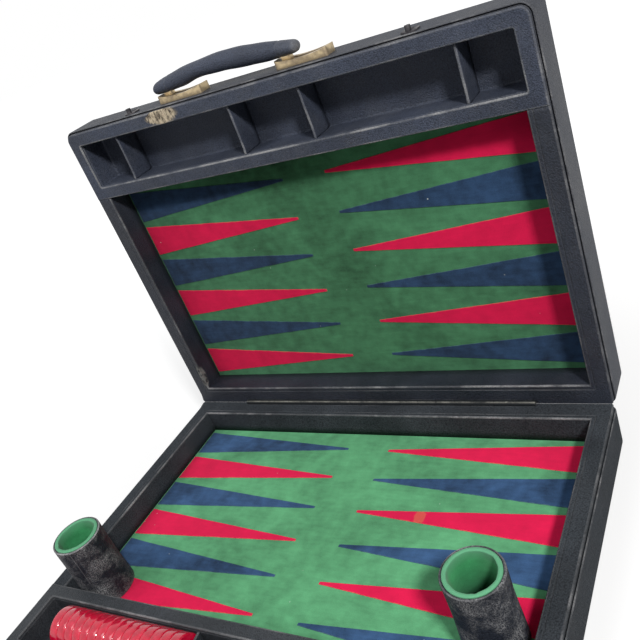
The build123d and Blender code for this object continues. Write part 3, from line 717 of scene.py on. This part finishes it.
class CASE_OT_shells(bpy.types.Operator):
    """Builds the leather-covered carcass of each half.

    The loops run from the middle of the base up the outside, over the step, into the seam and out,
    over the wall tops and down the inside. Step and seam flatten out at the hinge.
    """

    bl_idname = "backgammon.shells"
    bl_label = "Case shells"

    def execute(self, context):
        rim = context.scene.case_sizes.rim_round / MM
        edge_of_step, inner_edge = shell_plan(0, STEP_WIDTH - SEAM_WIDTH), shell_plan(0, STEP_WIDTH)
        flush = 1 - np.clip((edge_of_step[:, 1] - HINGE_FACE) / BESIDE_HINGE, 0, 1)
        bottom = SEAM_DEPTH + (STEP_DROP - 0.1 - SEAM_DEPTH) * flush
        past_end = beyond_hinge(inner_edge)
        drawn_in = HINGE_SIDE * (1 - END_SHARE * past_end)
        mouth = outline(INNER_HALF, INNER_START, INNER_END, FRAME_CORNER, INNER_CORNER, BREAKS, NOTCH)
        at_tray = mouth[:, 1] > TRAY_START
        mouth[:, 0] *= np.where(at_tray, TRAY_HALF / INNER_HALF, 1)
        under_plate = inner_edge[:, 1] > TRAY_START
        for half, body in BODIES.items():
            stack = RingStack()
            for inset in (120, 60, 20, 8):
                stack.ring(shell_plan(inset), DEPTH, 0)
            for inset, rise in rounded(BASE_EDGE, 7)[::-1]:
                stack.ring(shell_plan(inset), DEPTH - rise, 0.45)
            for depth in np.linspace(DEPTH - 6, STEP_DROP + 2.2, 12):
                stack.ring(shell_plan(0), depth, 0)
            for inset, drop in rounded(STEP_ROUND):
                stack.ring(shell_plan(0, inset), STEP_DROP + drop, 0.95)
            stack.ring(edge_of_step, STEP_DROP + 0.1 - 0.15 * flush, 0.15)
            stack.ring(edge_of_step, bottom, 0)
            stack.ring(inner_edge, bottom - 0.1 * flush, 0)
            for inset, drop in rounded(rim):
                top = shell_plan(0, STEP_WIDTH + inset)
                beside_hinge = top[:, 1] < HINGE_FACE + BESIDE_HINGE
                top[:, 1] += drawn_in * inset * beside_hinge
                down = np.where(beside_hinge, drop * drawn_in, drop)
                down = RIM_DROP + (down - (RIM_DROP - END_DROP) * past_end)
                stack.ring(top, np.where(under_plate, TRAY_TOP + TRAY_LIP, down), 0.9)
            target = at_depth(mouth, np.where(under_plate, TRAY_TOP + TRAY_LIP, RIM_DROP))
            stack.between(target, ((0.05, 0), (0.5, 0), (0.93, 0), (0.99, 0.8)))
            for depth in (1.5, 3.0, 20.0, BASE_TOP):
                stack.ring(mouth, np.maximum(depth, 2.5 * at_tray), 0)
            pieces = f"{half}_leather_shell", *stack.parts(half)
            piece(*pieces, body, "case_leather", f"{half}_case", f"{half}_shell")
        return {"FINISHED"}


class CASE_OT_hinge(bpy.types.Operator):
    """Builds the painted knuckles of the long hinge, every second one on each half."""

    bl_idname = "backgammon.hinge"
    bl_label = "Hinge"

    def execute(self, context):
        pitch, inside, count = 2 * HINGE_HALF / KNUCKLES, 1.5, 32
        length = pitch / 2 - BARREL_GAP
        end = [(BARREL - i, length - d) for i, d in rounded(BARREL_EDGE, 4)]
        profile = [(inside, -length), *((r, -x) for r, x in end[::-1]), *end, (inside, length)]
        # The edge attribute peaks along the crest facing front and up: it places the painted highlight
        # line of the barrels.
        rubbed_and_lit = bell(full_turn(count), 2.2, 0.2) * np.ones((len(profile), 1))
        for first, (half, body) in enumerate(BODIES.items()):
            barrels = []
            for number in range(first, KNUCKLES, 2):
                centre = (pitch * (number + 0.5) - HINGE_HALF, HINGE_Y, HINGE_Z)
                barrels.append(turned(profile, centre, "X", count))
            wear = [rubbed_and_lit] * len(barrels)
            piece(f"{half}_hinge_barrels", barrels, wear, body, "hinge_black", "hinge")
        return {"FINISHED"}


def frame_path(half_width, start, corner, count=90):
    """Plan of the lining frame: down one side, along the hinge and up the other, round corners."""
    side = np.linspace(TRAY_START, start + corner, count)
    c, s = arc(0, -90, 7)
    bend = stacked(half_width - corner + corner * c, start + corner + corner * s)
    run = np.linspace(half_width - corner, corner - half_width, 2 * count)[1:-1]
    first = np.concatenate([stacked(half_width, side), bend[1:]])
    return np.concatenate([first, stacked(run, start), first[::-1] * (-1, 1)])


class CASE_OT_lining_frames(bpy.types.Operator):
    """Builds the leather-covered frame round three sides of each playing field."""

    bl_idname = "backgammon.lining_frames"
    bl_label = "Lining frames"

    def execute(self, context):
        rim = context.scene.case_sizes.rim_round / MM
        section = [(0.0, FIELD_DEPTH, 0), (0.0, 4.0, 0)]
        section += [(inset, RIM_DROP + drop, 0.5) for inset, drop in rounded(FRAME_EDGE)]
        section += [(1.4, RIM_DROP, 0), (LINER_WALL - rim - 0.7, RIM_DROP, 0)]
        section += [(LINER_WALL - i, RIM_DROP + d, 1.0) for i, d in rounded(rim)[::-1]]
        section += [(LINER_WALL, d, w) for d, w in ((3.2, 0), (10, 0), (18, 0), (FIELD_DEPTH, 0.3))]
        plans = [(frame_path(INNER_HALF - i, INNER_START + i, FRAME_CORNER), d) for i, d, _ in section]
        rings = np.stack([at_depth(*plan) for plan in plans], axis=1)
        edge = np.broadcast_to([w for _, _, w in section], rings.shape[:2])
        for half, body in BODIES.items():
            name, parts = f"{half}_leather_liner", [place(half, rings)]
            piece(name, parts, [edge], body, "case_leather", f"{half}_case", f"{half}_liner")
        return {"FINISHED"}


def plate_plan(inset):
    """Plan of the tray's rim plate drawn in by inset."""
    side = PLATE_INSET + inset
    return outline(HALF_WIDTH - side, TRAY_START + inset, LENGTH - side, 0.3, CORNER - side)


def opening_plan(grow):
    """Plan of the tray's opening made larger by grow."""
    bend = 1.5 + max(grow, 0)
    return outline(OPENING_HALF + grow, OPENING_START - grow, OPENING_END + grow, bend, bend)


def tray_loops():
    """Loops of a tray: up its outside, over the rim plate, into the opening and down to its bed."""
    stack = RingStack()
    for inset in (20, 10, 0):
        near, far = TRAY_START + TRAY_SETBACK + inset, INNER_END - inset
        stack.ring(outline(TRAY_HALF - inset, near, far, 0.1, INNER_CORNER), BASE_TOP, 0)
    stack.ring(stack.loops[-1][:, :2], TRAY_TOP + TRAY_LIP, 0)
    stack.ring(plate_plan(0), TRAY_TOP + TRAY_LIP, 0.2)
    for inset, drop in rounded(PLATE_EDGE):
        stack.ring(plate_plan(inset), TRAY_TOP + drop, 0.95)
    stack.ring(plate_plan(1.9), TRAY_TOP, 0)
    target = outline(OPENING_HALF + 2, OPENING_START - 2, OPENING_END + 2, 3, 3)
    stack.between(at_depth(target, TRAY_TOP), ((0.35, 0), (0.7, 0), (1.0, 0)))
    inside = [(inset, TRAY_TOP + drop, 1.0) for inset, drop in rounded(OPENING_EDGE)[::-1]]
    inside += [(0, 2.2, 0), (0, 2.9, 0.25), (-LINING_OUT, 3.2, 0.75), (-LINING_OUT, 4.2, 0)]
    inside += [(-0.25, depth, 0) for depth in (9, 18, 26)]
    inside += [(-0.2 - inset, TRAY_BED - rise, 0.2) for inset, rise in rounded(BED_ROUND)]
    for grow, depth, wear in [*inside, (-15, TRAY_BED, 0)]:
        stack.ring(opening_plan(grow), depth, wear)
    return stack


class CASE_OT_trays(bpy.types.Operator):
    """Builds the checker tray of each half, its rim plate and its partitions."""

    bl_idname = "backgammon.trays"
    bl_label = "Trays"

    def execute(self, context):
        ends = np.array([0.2, 1.5, 3])
        run = np.linspace(OPENING_START + 6, OPENING_END - 6, 12)
        away = np.concatenate([OPENING_START + ends, run, OPENING_END - ends[::-1]])
        c, s = arc(180, 0, 9)
        half_wall = DIVIDER / 2
        across = np.concatenate([half_wall * c, np.repeat((half_wall, -half_wall), 4)])
        rise = np.concatenate([half_wall * (1 - s), [1.9, 12, 20, 0, 0, 20, 12, 1.9]])
        on_bed = np.isin(np.arange(17), (12, 13))
        near_end = np.minimum(away - OPENING_START, OPENING_END - away)
        scoop = DIVIDER_SCOOP * np.clip(near_end / 7, 0, 1)
        depth = np.where(on_bed, TRAY_BED, DIVIDER_DROP + scoop[:, None] + rise)
        marks = np.array([[0, 0.5, 1, 1, 1, 1, 1, 0.5] + [0] * 9])
        tray = tray_loops()
        for half, body in BODIES.items():
            looks = body, "tray_leather", f"{half}_tray"
            piece(f"{half}_leather_tray", *tray.parts(half), *looks, f"{half}_tray")
            walls = []
            for middle in DIVIDERS[half]:
                bow = DIVIDER_BOW * np.sin((away - OPENING_START) / 14 + middle)[:, None]
                walls.append(place(half, stacked(middle + bow + across, away[:, None], depth)))
            wear = [marks] * len(walls)
            piece(f"{half}_leather_dividers", walls, wear, *looks, f"{half}_tray_dividers")
        return {"FINISHED"}


def suede_point(side, number):
    """Loops of one point's cross-section from its base to its tip, and their edge values.

    The width falls evenly, both ends thin out and the middle line wavers a little.
    """
    along = np.concatenate([[0, 0.002], np.linspace(0.01, 0.99, 70), [0.998, 1]])
    ends = np.clip(np.minimum(along, 1 - along) / 0.01, 0, 1)
    width = ((POINT_BASE + (POINT_TIP - POINT_BASE) * along) / 2)[:, None]
    run = (FIELD_HALF + (TIP_TO_MIDDLE - FIELD_HALF) * along)[:, None]
    waver = POINT_WAVER * np.sin(run * 0.11 + number * 1.7) * np.clip(1 - along, 0.1, 1)[:, None]
    middle = FIRST_POINT + POINT_PITCH * number + waver
    c, s = arc(180, 90, 4)
    lip, up = POINT_EDGE * (c + 1), POINT_EDGE * s + SUEDE - POINT_EDGE
    tucked = lip * np.minimum(1, width)
    share = np.array([-0.66, -0.33, 0, 0.33, 0.66])
    inner = width - 0.8
    section = np.concatenate(
        [tucked - width, -inner, share * inner, inner, (width - tucked)[:, ::-1], width, -width], 1
    )
    height = np.concatenate([up, np.full(7, SUEDE), up[::-1], [0, 0]])
    depth = FIELD_DEPTH - height * (0.35 + 0.65 * ends)[:, None]
    mark = np.concatenate([np.ones(4), np.zeros(7), np.ones(6)])
    rings = stacked(side * run, middle + section, depth)
    return rings, np.maximum(mark, (1 - ends)[:, None])


class CASE_OT_points(bpy.types.Operator):
    """Lays the suede points on both fields, six of each colour to a half."""

    bl_idname = "backgammon.points"
    bl_label = "Suede points"

    def execute(self, context):
        for half, body in BODIES.items():
            for colour, first in (("red", 1), ("navy", 0)):
                stacks, wear = [], []
                for number in range(6):
                    right = (number % 2 == first) == (half == "lid")
                    rings, marks = suede_point(1 if right else -1, number)
                    stacks.append(place(half, rings))
                    wear.append(marks)
                finish = f"{half}_{colour}"
                looks = body, f"{colour}_suede", finish, f"{finish}_points"
                piece(f"{finish}_suede", stacks, wear, *looks)
        return {"FINISHED"}


def cup_leather(centre, seam, lap_height, waist):
    """Rings and edge values of a cup's leather, with a lap at its seam that fades out round it."""
    low = CUP_LINING + 0.02
    profile = [(21.4, 0.0), (22.6, 0.0), (23.2, 0.35), *waist]
    profile += [(CUP_OUTER - 0.1, CUP_RIM - 0.5), (CUP_OUTER - 0.6, CUP_RIM)]
    profile += [(21.1, CUP_RIM), (20.6, CUP_RIM - 0.5), (low, 60.0), (low, 3.0), (low, 0.5)]
    rise = np.linspace(0, 1, len(waist))
    marks = [0.5, 0.9, 1.0, *np.clip(0.9 - 14 * rise, 0, 1), 1.0, 0.9, 0.5, 0, 0, 0, 0]

    def lap(angle, profile):
        """What the lap and the waves add to the radius."""
        skin = (profile[:, :1] > CUP_SKIN) & (profile[:, 1:] > 0.5)
        turn = np.mod(angle - seam, 2 * np.pi)
        return (lap_height * np.exp(-turn / 0.45) + 0.12 * np.sin(3 * angle + 1.0)) * skin

    off = np.abs(opposite(full_turn(180), seam - np.pi))
    side = 0.8 * bell(off, 0, 0.03) + 0.45 * bell(off, STITCH_OFF, 0.025)
    side = side * (np.array(profile)[:, :1] > CUP_SKIN)
    return turned(profile, centre, "Z", 180, lap), np.maximum(np.array(marks)[:, None], side)


def cup_felt(centre, seam):
    """Rings and edge values of a cup's lining: a soft uneven lip, a butted joint and low waves. The edge
    values run to -1 at the bottom, which is darkened as painted shade.
    """
    c, s = arc(-10, 190, 12)
    profile = [(CUP_LINING, 3.9), (CUP_LINING, 30), (CUP_LINING, 66.0), (20.4, 68.2)]
    profile += [(18.85 + 1.6 * a, CUP_RIM + 0.9 * b) for a, b in zip(c, s)]
    profile += [(17.25, 66.5), (17.4, 60), (CUP_BORE, 30), (CUP_BORE, 8.0), (16.4, 6.2), (8.0, 5.9)]
    # The marks fall to -1 towards the bottom: there the lining is darkened as painted shade.
    marks = [0, 0, 0.2, 0.8, *np.full(12, 1.0), 0.6, 0.05, -0.8, -0.97, -1, -1]

    def soft(angle, profile):
        """What the joint and the waves, which fade out down the cup, add to the radius."""
        radius, height = profile[:, :1], profile[:, 1:]
        joint = 0.8 * bell(opposite(angle, seam + 2.2), 0, 0.1) * np.clip((19.8 - radius) / 1.8, 0, 1)
        waves = 0.2 + 0.18 * np.sin(5 * angle) + 0.1 * np.sin(11 * angle + 1)
        return (joint - waves) * np.clip((height - 45) / 24, 0, 1) * (radius < CUP_LINING - 0.1)

    return turned(profile, centre, "Z", 144, soft), np.array(marks)[:, None]


def cup_stitches(centre, seam, lap_height, waist, count):
    """Rings of the stitches beside a cup's seam: short upright threads, thinner at their ends."""
    turn = full_turn(10)[None, :, None]
    run = np.linspace(-STITCH_HALF, STITCH_HALF, 7)[:, None, None]
    girth = STITCH_GIRTH * np.sqrt(np.clip(1 - (run / 1.25) ** 2, 0.05, 1))
    out = np.array([np.cos(seam + STITCH_OFF), np.sin(seam + STITCH_OFF), 0])
    side, up = np.array([-out[1], out[0], 0]), np.array([0, 0, 1.0])
    radii, heights = np.array(waist).T
    threads = []
    for height in np.linspace(4, 65, count):
        radius = np.interp(height, heights, radii) + 0.84 * lap_height
        spine = centre + out * radius + up * height + run * up
        threads.append((spine + girth * (np.cos(turn) * out + np.sin(turn) * side)) * MM)
    return threads


class CASE_OT_cups(bpy.types.Operator):
    """Builds the two dice cups: stitched leather outside, thick felt lining with a soft lip."""

    bl_idname = "backgammon.cups"
    bl_label = "Dice cups"

    def execute(self, context):
        rise = np.linspace(0, 1, 40)
        drawn_in = CUP_WAIST * np.sin(np.pi * np.clip(rise * 0.9, 0, 1)) ** 2
        waist = list(zip(CUP_FOOT - 0.9 * rise - drawn_in, 1 + rise * (CUP_RIM - 2)))
        for name, (across, away, seam_at, lap_height) in CUPS.items():
            centre = np.array([across, HINGE_Y - away, HINGE_Z - FIELD_DEPTH + SUEDE])
            seam = np.radians(seam_at)
            rings, edge = cup_leather(centre, seam, lap_height, waist)
            looks = "cup_leather", "cup", f"{name}_body"
            piece(f"{name}_leather", [rings], [edge], name, *looks)
            rings, edge = cup_felt(centre, seam)
            piece(f"{name}_felt", [rings], [edge], name, "cup_felt", "lining", f"{name}_lining")
            stitches = context.scene.case_sizes.stitches
            if stitches:
                threads = cup_stitches(centre, seam, lap_height, waist, stitches)
                piece(f"{name}_stitches", threads, None, name, "cup_leather", "handle")
        return {"FINISHED"}


class CASE_OT_checkers(bpy.types.Operator):
    """Builds both stacks of checkers: discs with round-cut edges and a rim that swells a little."""

    bl_idname = "backgammon.checkers"
    bl_label = "Checkers"

    def execute(self, context):
        thick, cut = CHECKER_THICKNESS / 2 - 0.02, CHECKER_CUT
        c, s = arc(-90, -6, 7)
        corner = stacked(CHECKER_RADIUS - 0.12 - cut + cut * c, cut - thick + cut * s)
        first = np.concatenate([[(5, -thick), (12, -thick), (16.6, -thick)], corner])
        side = CHECKER_RADIUS - CHECKER_SWELL
        swell = [(side, -1.6), (CHECKER_RADIUS, 0), (side, 1.6)]
        profile = np.concatenate([first, swell, first[::-1] * (1, -1)])
        start = STACK_START + CHECKER_THICKNESS / 2
        y, z = HINGE_Y - STACK_AWAY, HINGE_Z - TRAY_BED + CHECKER_RADIUS
        for name, side in CHECKERS.items():
            spots = [side * (start + CHECKER_PITCH * k) for k in range(CHECKER_COUNT)]
            discs = [turned(profile, (x, y, z), "X", 80) for x in spots]
            colour = name.split("_")[0]
            slot = f"{colour}_marbled"
            piece(f"{colour}_discs", discs, None, name, slot, slot, name)
        return {"FINISHED"}


class CASE_OT_handle(bpy.types.Operator):
    """Builds the padded leather grip: upright ovals between its smoothed top and underside.

    The ovals dip at the seams where the padding ends, and close in a round end.
    """

    bl_idname = "backgammon.handle"
    bl_label = "Carrying handle"

    def execute(self, context):
        low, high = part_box("handle_grip")
        middle = (low + high) / 2 / MM
        close = 0.94 + 0.06 * np.sin(np.linspace(0, np.pi / 2, 14))
        share = np.concatenate([-close[::-1], np.linspace(-0.94, 0.94, 150)[1:-1], close])
        along, off = share * GRIP_REACH, np.abs(share)
        smooth = np.hanning(17) / np.hanning(17).sum()
        top, under = (
            np.convolve(np.pad(np.interp(along, GRIP_ALONG, height), 8, mode="edge"), smooth, "valid")
            for height in (GRIP_TOP, GRIP_UNDER)
        )
        tip = np.clip((1 - off) / 0.06, 0, 1)
        closing = np.sqrt(np.clip(1 - (1 - tip) ** 3.2, 0.0025, 1))
        seam = bell(off, GRIP_SEAM, 0.011)
        tall = ((top - under) / 2 - GRIP_DIP * seam) * closing
        wide = (GRIP_HALF_WIDTH + GRIP_SWELL * (1 - off**2.2) - GRIP_DIP * seam) * closing
        turn = full_turn(56)
        pinch = 1 - 0.05 * bell(opposite(turn, 0.5 * np.pi), 0, 0.18)
        pinch = pinch * (1 + 0.012 * np.sin(along * 0.23)[:, None] * np.cos(2 * turn + 0.6))
        upward = tall[:, None] * pinch * np.sin(turn)
        y = middle.y + wide[:, None] * pinch * np.cos(turn)
        z = HINGE_Z + LENGTH + ((top + under) / 2)[:, None] + upward
        edge = 0.8 * seam + 0.6 * (1 - tip) + 0.62 * (share > GRIP_SEAM + 0.01)
        parts = [stacked(middle.x + along[:, None], y, z) * MM]
        edge = [np.clip(edge, 0, 1)[:, None]]
        looks = "handle_leather", "handle", "handle_grip"
        made = piece("grip_leather", parts, edge, "handle", *looks)
        return {"FINISHED"}


def seen_rays(tree):
    """Adds a value of 1 for what the camera sees, straight, mirrored or through glass."""
    rays = add(tree, "LightPath").outputs
    seen = math(tree, "MAXIMUM", rays["Is Camera Ray"], rays["Is Glossy Ray"])
    return math(tree, "MAXIMUM", seen, rays["Is Transmission Ray"])


def lamp(name, power, size, spot, target, colour):
    """A square area light at a spot, turned to a target."""
    data = bpy.data.lights.new(name, "AREA")
    data.energy, data.size, data.color = power, size, colour
    made = bpy.data.objects.new(name, data)
    bpy.context.scene.collection.objects.link(made)
    made.location = spot
    made.rotation_euler = (Vector(target) - Vector(spot)).to_track_quat("-Z", "Y").to_euler()


class CASE_OT_stage(bpy.types.Operator):
    """Sets a pale floor, soft studio lights and the camera."""

    bl_idname = "backgammon.stage"
    bl_label = "Stage"

    def execute(self, context):
        scene, sizes, white = context.scene, context.scene.case_sizes, (1, 1, 1, 1)
        scene.view_settings.view_transform = "Standard"
        bpy.ops.mesh.primitive_plane_add(size=14)
        floor = context.object
        floor.name = "floor"
        made, tree, shader = start_material("Pale floor")
        off = add(tree, "VectorMath", {0: object_space(tree)}, operation="LENGTH").outputs["Value"]
        glow = add(tree, "MapRange", {0: off, 1: 0.25, 2: 0.9, 3: 0.62, 4: 1.0}).outputs[0]
        glow = {"Emission Color": white, "Emission Strength": times(tree, seen_rays(tree), glow)}
        dull = {"Base Color": (0.4, 0.4, 0.4, 1), "Roughness": 1.0, "Specular IOR Level": 0.0}
        connect(tree, shader, {**dull, **glow})
        floor.data.materials.append(made)

        world = bpy.data.worlds.new("Studio")
        world.use_nodes = True
        scene.world = world
        tree = world.node_tree
        strength = scaled(tree, seen_rays(tree), 0.88, 0.12)
        connect(tree, tree.nodes["Background"], {"Color": white, "Strength": strength})

        lamp("key", sizes.key_light, 0.22, (1.21, -0.85, 1.47), (0, 0.05, 0.1), (1, 0.99, 0.98))
        lamp("top", sizes.top_light, 1.1, (-0.75, -0.75, 1.7), (0, 0, 0.1), (0.97, 0.98, 1))

        lens = bpy.data.cameras.new("camera")
        lens.sensor_width, lens.lens = 36.0, 41.8514
        lens.clip_start, lens.clip_end = 0.02, 30
        camera = bpy.data.objects.new("camera", lens)
        scene.collection.objects.link(camera)
        right = Vector((0.83846, 0.42371, -0.34272))
        up = Vector((0.05589, 0.55871, 0.82747))
        turn = Matrix((right, up, right.cross(up))).transposed().to_4x4()
        camera.matrix_world = Matrix.Translation((0.36758, -0.36581, 0.46667)) @ turn
        scene.camera = camera
        return {"FINISHED"}


class CASE_PT_sidebar(bpy.types.Panel):
    """Lists the pieces of the case, with its sizes and colours."""

    bl_label = "Backgammon Case"
    bl_idname = "CASE_PT_sidebar"
    bl_space_type = "VIEW_3D"
    bl_region_type = "UI"
    bl_category = "Backgammon Case"

    def draw(self, context):
        for settings in (context.scene.case_colours, context.scene.case_sizes):
            for key in settings.bl_rna.properties.keys():
                if key not in ("rna_type", "name"):
                    self.layout.prop(settings, key)
        for operator in STEPS:
            self.layout.operator(operator.bl_idname)


STEPS = (
    CASE_OT_finishes,
    CASE_OT_shells,
    CASE_OT_hinge,
    CASE_OT_lining_frames,
    CASE_OT_trays,
    CASE_OT_points,
    CASE_OT_cups,
    CASE_OT_checkers,
    CASE_OT_handle,
    CASE_OT_stage,
)
CLASSES = (CaseColours, CaseSizes, *STEPS, CASE_PT_sidebar)


def register():
    """Registers the classes and puts the settings on the scene."""
    for item in CLASSES:
        bpy.utils.register_class(item)
    bpy.types.Scene.case_colours = PointerProperty(type=CaseColours)
    bpy.types.Scene.case_sizes = PointerProperty(type=CaseSizes)


def unregister():
    """Takes the settings and the classes away again."""
    del bpy.types.Scene.case_sizes
    del bpy.types.Scene.case_colours
    for item in reversed(CLASSES):
        bpy.utils.unregister_class(item)


def main():
    """Builds every piece in order."""
    register()
    for step in STEPS:
        group_name, step_name = step.bl_idname.split(".")
        getattr(getattr(bpy.ops, group_name), step_name)()


if __name__ == "__main__":
    main()
